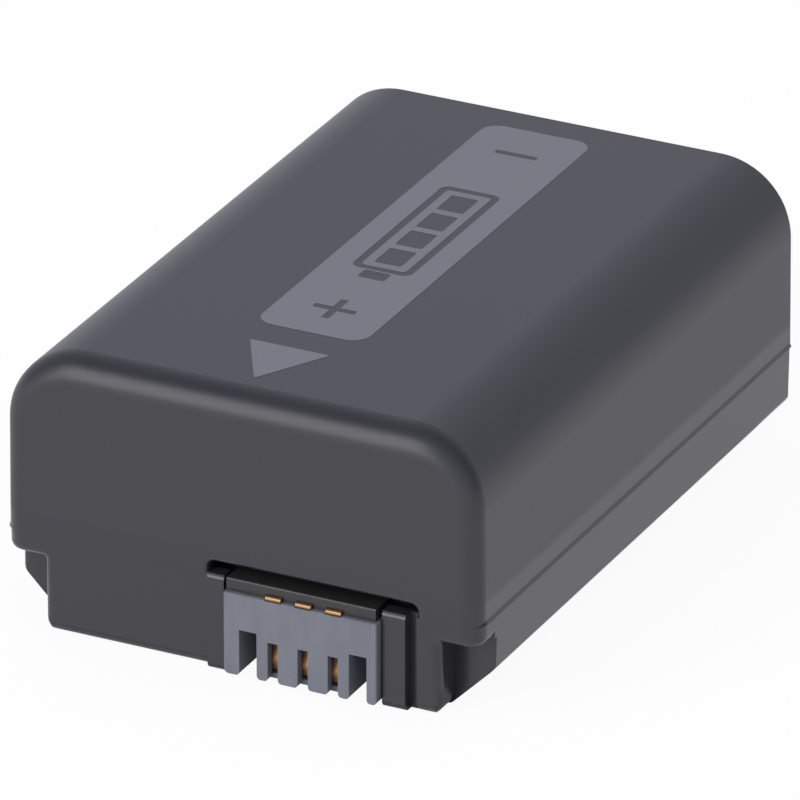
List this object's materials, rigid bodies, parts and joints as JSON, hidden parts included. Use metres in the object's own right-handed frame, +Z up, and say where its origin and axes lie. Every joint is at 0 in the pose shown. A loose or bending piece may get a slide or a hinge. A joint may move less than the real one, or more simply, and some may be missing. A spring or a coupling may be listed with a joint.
{
  "type": "camera battery",
  "caption": "Rechargeable camera battery pack with rounded upper edges, key chamfers, notched corners and a slotted terminal block that slides into a battery chamber.",
  "frame": {"origin": "centre of the footprint, on the plain broad face that the pack rests on", "axes": "+X along the width, +Y along the length away from the terminal end, +Z up through the thickness towards the printed face"},
  "size_m": [0.0318, 0.045, 0.0185],
  "materials": {
    "case_abs": "black moulded ABS with a fine even texture",
    "lower_abs": "black moulded ABS, a finer texture than the upper shell's",
    "retainer_abs": "black moulded ABS, smooth",
    "block_pbt": "cool grey moulded PBT, satin",
    "gilt": "gold-plated copper alloy",
    "can_aluminium": "deep-drawn aluminium",
    "nickel": "rolled nickel strip",
    "gasket_plastic": "natural polypropylene",
    "board_epoxy": "green solder mask on glass epoxy",
    "chip_epoxy": "black moulding compound",
    "insulating_paper": "blue-grey insulating paper",
    "tape": "double-sided adhesive tape",
    "foam": "closed-cell foam"
  },
  "bodies": {
    "root": {"upper_case": "case_abs", "lower_case": "lower_abs", "terminal_block": "block_pbt", "contact_retainer": "retainer_abs", "positive_contact": "gilt", "sense_contact": "gilt", "negative_contact": "gilt", "lower_cell": "can_aluminium", "upper_cell": "can_aluminium", "lower_pole": "nickel", "upper_pole": "nickel", "lower_gasket": "gasket_plastic", "upper_gasket": "gasket_plastic", "series_strap": "nickel", "positive_tab": "nickel", "negative_tab": "nickel", "circuit_board": "board_epoxy", "protection_ic": "chip_epoxy", "mosfet": "chip_epoxy", "thermistor": "chip_epoxy", "chip_parts": "chip_epoxy", "end_insulator": "insulating_paper", "lower_tape": "tape", "cell_tape": "tape", "upper_tape": "tape", "rear_cushion": "foam"}
  },
  "joints": []
}
